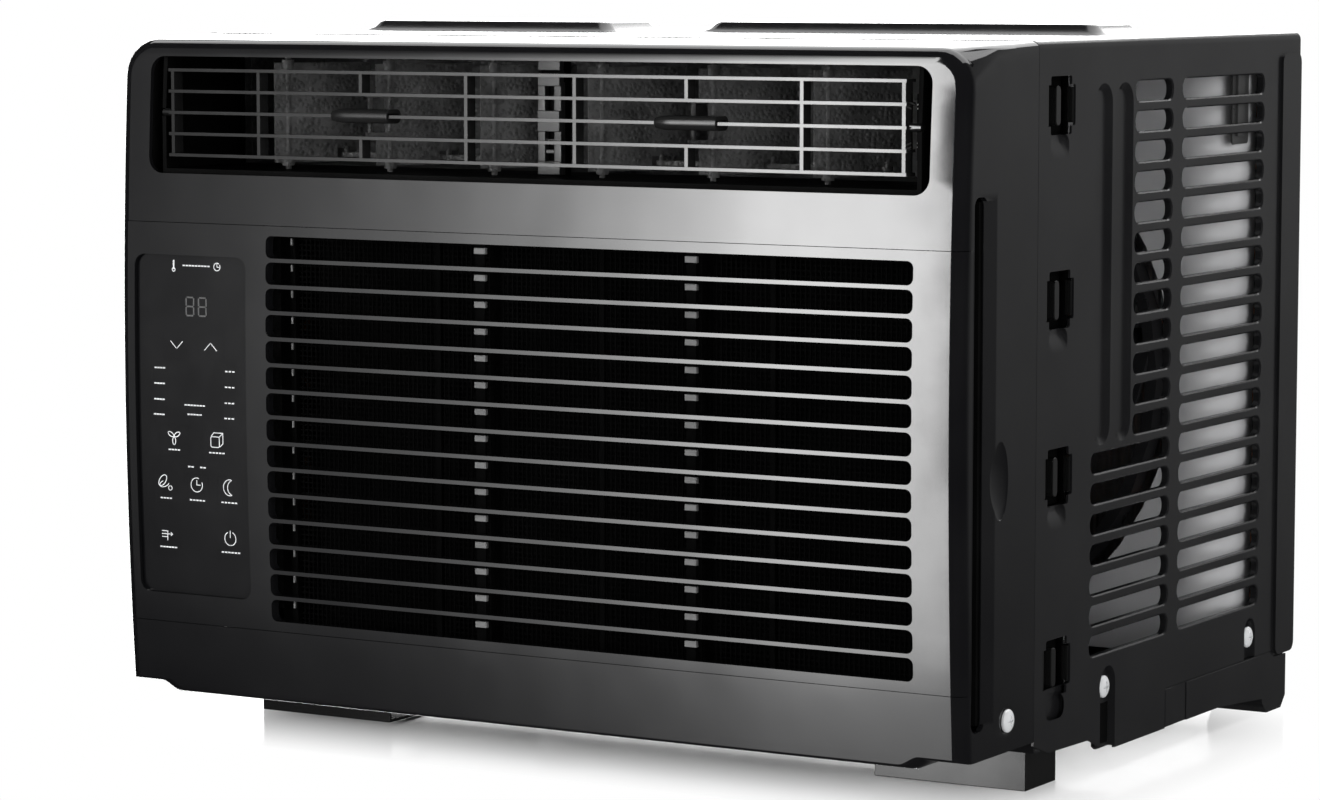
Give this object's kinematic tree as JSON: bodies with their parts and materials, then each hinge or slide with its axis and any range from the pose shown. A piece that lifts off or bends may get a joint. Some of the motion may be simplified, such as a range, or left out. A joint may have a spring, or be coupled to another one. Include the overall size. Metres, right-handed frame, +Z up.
{
  "type": "window air conditioner",
  "caption": "Compact window air conditioner: slotted steel cabinet, moulded front with tilting louver and turning vanes, slide-out filter, touch keys, fans, coils and compressor.",
  "frame": {"origin": "on the floor under the middle of the body", "axes": "+X to the right seen from the front, the front faces -Y, +Z up"},
  "size_m": [0.4748, 0.388, 0.357],
  "materials": {
    "bezel_plastic": "black, glossy moulded",
    "louver_plastic": "dark grey, satin gloss",
    "vane_plastic": "black moulded",
    "control_glass": "black film with pale symbols",
    "circuit_board": "green laminate",
    "inner_plastic": "black moulded",
    "fan_plastic": "black moulded",
    "foam_housing": "moulded foam, dark grey",
    "painted_steel": "black fine-texture powder coat",
    "compressor_steel": "black enamel",
    "galvanised_steel": "zinc coated sheet",
    "fin_aluminium": "thin fins",
    "copper": "copper tube, slightly dulled",
    "shroud_plastic": "light grey moulded",
    "rubber": "black",
    "zinc_steel": "bright zinc"
  },
  "bodies": {
    "chassis": {"base_pan": "painted_steel", "front_foot_right": "painted_steel", "front_foot_left": "painted_steel", "cabinet": "painted_steel", "front_bezel": "bezel_plastic", "cord_grommet": "rubber", "intake_panel": "bezel_plastic", "control_overlay": "control_glass", "display_window": "control_glass", "control_board": "circuit_board", "control_box": "inner_plastic", "run_capacitor": "zinc_steel", "discharge_duct": "inner_plastic", "scroll_housing": "foam_housing", "evaporator_fins": "fin_aluminium", "evaporator_tube": "copper", "condenser_fins": "fin_aluminium", "condenser_tube": "copper", "partition": "galvanised_steel", "fan_motor": "galvanised_steel", "motor_bracket": "galvanised_steel", "condenser_shroud": "shroud_plastic", "compressor": "compressor_steel", "compressor_grommet_1": "rubber", "compressor_grommet_2": "rubber", "compressor_grommet_3": "rubber", "accumulator": "copper", "suction_tube": "copper", "discharge_tube": "copper", "capillary_tube": "copper", "bezel_screw_right": "zinc_steel", "cabinet_front_screw_right": "zinc_steel", "cabinet_rear_screw_right": "zinc_steel", "bezel_screw_left": "zinc_steel", "cabinet_front_screw_left": "zinc_steel", "cabinet_rear_screw_left": "zinc_steel"},
    "louver": {"horizontal_louver": "louver_plastic"},
    "grip_left": {"louver_grip_left": "louver_plastic"},
    "grip_right": {"louver_grip_right": "louver_plastic"},
    "link_left": {"vane_link_left": "vane_plastic"},
    "link_right": {"vane_link_right": "vane_plastic"},
    "filter": {"air_filter": "fan_plastic"},
    "rotor": {"motor_shaft": "zinc_steel", "blower_wheel": "fan_plastic", "condenser_fan": "fan_plastic"},
    "key_temp_down_body": {"key_temp_down": "control_glass"},
    "key_temp_up_body": {"key_temp_up": "control_glass"},
    "key_fan_body": {"key_fan": "control_glass"},
    "key_mode_body": {"key_mode": "control_glass"},
    "key_eco_body": {"key_eco": "control_glass"},
    "key_timer_body": {"key_timer": "control_glass"},
    "key_sleep_body": {"key_sleep": "control_glass"},
    "key_filter_body": {"key_filter": "control_glass"},
    "key_power_body": {"key_power": "control_glass"},
    "vane_left_outer_body": {"vane_left_outer": "vane_plastic"},
    "vane_left_middle_body": {"vane_left_middle": "vane_plastic"},
    "vane_left_inner_body": {"vane_left_inner": "vane_plastic"},
    "vane_right_inner_body": {"vane_right_inner": "vane_plastic"},
    "vane_right_middle_body": {"vane_right_middle": "vane_plastic"},
    "vane_right_outer_body": {"vane_right_outer": "vane_plastic"}
  },
  "joints": [
    {"name": "louver_tilt", "type": "hinge", "parent": "chassis", "child": "louver", "pos_m": [0, -0.186, 0.314], "axis": [1, 0, 0], "range_deg": [-18, 18]},
    {"name": "vane_left_outer_turn", "type": "hinge", "parent": "chassis", "child": "vane_left_outer_body", "pos_m": [-0.15088, -0.1645, 0.314], "axis": [0, 0, 1], "range_deg": [0, 76]},
    {"name": "vane_left_middle_turn", "type": "hinge", "parent": "chassis", "child": "vane_left_middle_body", "pos_m": [-0.09053, -0.1645, 0.314], "axis": [0, 0, 1], "range_deg": [0, 76]},
    {"name": "vane_left_inner_turn", "type": "hinge", "parent": "chassis", "child": "vane_left_inner_body", "pos_m": [-0.03018, -0.1645, 0.314], "axis": [0, 0, 1], "range_deg": [0, 76]},
    {"name": "vane_right_inner_turn", "type": "hinge", "parent": "chassis", "child": "vane_right_inner_body", "pos_m": [0.03018, -0.1645, 0.314], "axis": [0, 0, 1], "range_deg": [0, 76]},
    {"name": "vane_right_middle_turn", "type": "hinge", "parent": "chassis", "child": "vane_right_middle_body", "pos_m": [0.09053, -0.1645, 0.314], "axis": [0, 0, 1], "range_deg": [0, 76]},
    {"name": "vane_right_outer_turn", "type": "hinge", "parent": "chassis", "child": "vane_right_outer_body", "pos_m": [0.15088, -0.1645, 0.314], "axis": [0, 0, 1], "range_deg": [0, 76]},
    {"name": "link_left_turn", "type": "hinge", "parent": "vane_left_middle_body", "child": "link_left", "pos_m": [-0.07206, -0.14086, 0.293], "axis": [0, 0, 1], "range_deg": [-76, 0]},
    {"name": "grip_left_slide", "type": "slide", "parent": "louver", "child": "grip_left", "axis": [1, 0, 0], "range_m": [0, 0.0124]},
    {"name": "link_right_turn", "type": "hinge", "parent": "vane_right_middle_body", "child": "link_right", "pos_m": [0.10899, -0.14086, 0.293], "axis": [0, 0, 1], "range_deg": [-76, 0]},
    {"name": "grip_right_slide", "type": "slide", "parent": "louver", "child": "grip_right", "axis": [1, 0, 0], "range_m": [0, 0.0124]},
    {"name": "filter_slide", "type": "slide", "parent": "chassis", "child": "filter", "axis": [1, 0, 0], "range_m": [0, 0.36]},
    {"name": "rotor_spin", "type": "hinge", "parent": "chassis", "child": "rotor", "pos_m": [0.05, 0, 0.176], "axis": [0, 1, 0], "continuous": true},
    {"name": "key_temp_down_press", "type": "slide", "parent": "chassis", "child": "key_temp_down_body", "axis": [0, 1, 0], "range_m": [0, 0.0005], "stiffness_N_per_m": 1500},
    {"name": "key_temp_up_press", "type": "slide", "parent": "chassis", "child": "key_temp_up_body", "axis": [0, 1, 0], "range_m": [0, 0.0005], "stiffness_N_per_m": 1500},
    {"name": "key_fan_press", "type": "slide", "parent": "chassis", "child": "key_fan_body", "axis": [0, 1, 0], "range_m": [0, 0.0005], "stiffness_N_per_m": 1500},
    {"name": "key_mode_press", "type": "slide", "parent": "chassis", "child": "key_mode_body", "axis": [0, 1, 0], "range_m": [0, 0.0005], "stiffness_N_per_m": 1500},
    {"name": "key_eco_press", "type": "slide", "parent": "chassis", "child": "key_eco_body", "axis": [0, 1, 0], "range_m": [0, 0.0005], "stiffness_N_per_m": 1500},
    {"name": "key_timer_press", "type": "slide", "parent": "chassis", "child": "key_timer_body", "axis": [0, 1, 0], "range_m": [0, 0.0005], "stiffness_N_per_m": 1500},
    {"name": "key_sleep_press", "type": "slide", "parent": "chassis", "child": "key_sleep_body", "axis": [0, 1, 0], "range_m": [0, 0.0005], "stiffness_N_per_m": 1500},
    {"name": "key_filter_press", "type": "slide", "parent": "chassis", "child": "key_filter_body", "axis": [0, 1, 0], "range_m": [0, 0.0005], "stiffness_N_per_m": 1500},
    {"name": "key_power_press", "type": "slide", "parent": "chassis", "child": "key_power_body", "axis": [0, 1, 0], "range_m": [0, 0.0005], "stiffness_N_per_m": 1500}
  ],
  "couplings": [
    {"joint": "vane_left_outer_turn", "follows": "vane_left_middle_turn", "ratio": 1},
    {"joint": "vane_left_inner_turn", "follows": "vane_left_middle_turn", "ratio": 1},
    {"joint": "link_left_turn", "follows": "vane_left_middle_turn", "ratio": -1},
    {"joint": "grip_left_slide", "follows": "vane_left_middle_turn", "m_per_rad": 0.009283},
    {"joint": "vane_right_outer_turn", "follows": "vane_right_middle_turn", "ratio": 1},
    {"joint": "vane_right_inner_turn", "follows": "vane_right_middle_turn", "ratio": 1},
    {"joint": "link_right_turn", "follows": "vane_right_middle_turn", "ratio": -1},
    {"joint": "grip_right_slide", "follows": "vane_right_middle_turn", "m_per_rad": 0.009283}
  ]
}
